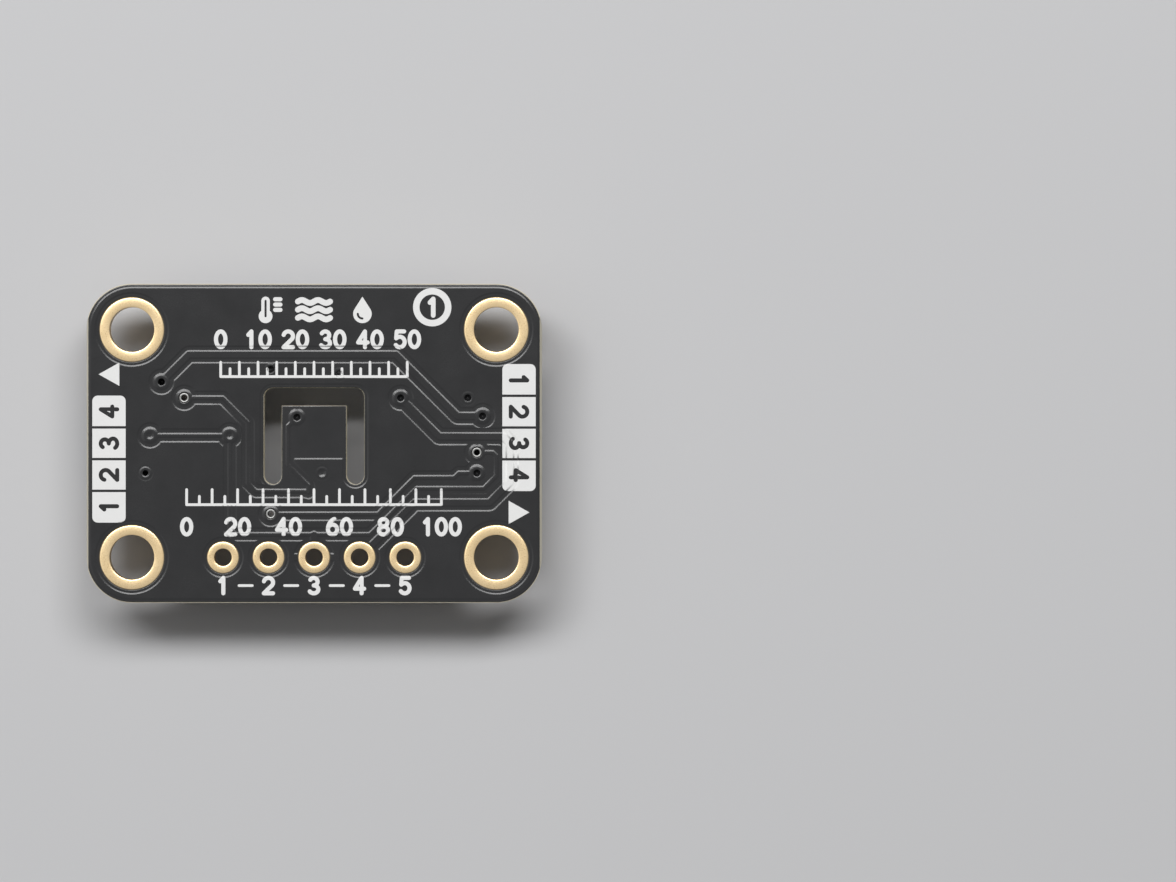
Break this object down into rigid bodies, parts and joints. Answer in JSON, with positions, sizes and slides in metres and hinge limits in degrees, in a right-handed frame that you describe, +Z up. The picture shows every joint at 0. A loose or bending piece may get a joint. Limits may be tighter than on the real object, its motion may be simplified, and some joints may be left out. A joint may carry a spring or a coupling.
{
  "type": "temperature humidity sensor module",
  "caption": "Small rectangular circuit board with a slotted sensor tongue, mounting and header holes, and a side-entry socket under each short edge, lying components down.",
  "frame": {"origin": "under the middle of the board, on the surface that the two sockets stand on", "axes": "+X along the board, from socket to socket; +Y across it, away from the header row; +Z up, out of the printed back of the board"},
  "size_m": [0.0254, 0.0178, 0.0046],
  "materials": {
    "laminate": "cut glass laminate, cream, slightly fibrous",
    "black_mask": "black solder mask, semi-gloss",
    "gold_plating": "thin gold over nickel, satin",
    "tinned_metal": "tin plating, satin",
    "white_ink": "printed white ink, matt",
    "socket_plastic": "moulded black nylon, fine matt",
    "package_epoxy": "moulded epoxy, fine matt",
    "sensor_epoxy": "moulded epoxy, fine matt",
    "sensor_die": "polymer film over silicon, glossy",
    "resistor_coating": "dark glaze over white ceramic",
    "capacitor_ceramic": "fired ceramic, tan"
  },
  "bodies": {
    "root": {"back_ink_fields": "white_ink", "back_solder_mask": "black_mask", "circuit_board": "laminate", "front_lands": "gold_plating", "front_solder_mask": "black_mask", "header_hole_1": "gold_plating", "header_hole_2": "gold_plating", "header_hole_3": "gold_plating", "header_hole_4": "gold_plating", "header_hole_5": "gold_plating", "input_capacitor_block": "capacitor_ceramic", "input_capacitor_terminal_left": "tinned_metal", "input_capacitor_terminal_right": "tinned_metal", "left_socket_contact_1": "tinned_metal", "left_socket_contact_2": "tinned_metal", "left_socket_contact_3": "tinned_metal", "left_socket_contact_4": "tinned_metal", "left_socket_housing": "socket_plastic", "left_socket_tab_lower": "tinned_metal", "left_socket_tab_upper": "tinned_metal", "level_shifter_legs": "tinned_metal", "level_shifter_package": "package_epoxy", "mounting_hole_lower_left": "gold_plating", "mounting_hole_lower_right": "gold_plating", "mounting_hole_upper_left": "gold_plating", "mounting_hole_upper_right": "gold_plating", "output_capacitor_block": "capacitor_ceramic", "output_capacitor_terminal_left": "tinned_metal", "output_capacitor_terminal_right": "tinned_metal", "regulator_legs": "tinned_metal", "regulator_package": "package_epoxy", "resistor_array_block": "resistor_coating", "resistor_array_terminals": "tinned_metal", "right_socket_contact_1": "tinned_metal", "right_socket_contact_2": "tinned_metal", "right_socket_contact_3": "tinned_metal", "right_socket_contact_4": "tinned_metal", "right_socket_housing": "socket_plastic", "right_socket_tab_lower": "tinned_metal", "right_socket_tab_upper": "tinned_metal", "sensor_capacitor_block": "capacitor_ceramic", "sensor_capacitor_terminal_left": "tinned_metal", "sensor_capacitor_terminal_right": "tinned_metal", "sensor_die": "sensor_die", "sensor_package": "sensor_epoxy", "via_barrels": "gold_plating"}
  },
  "joints": []
}
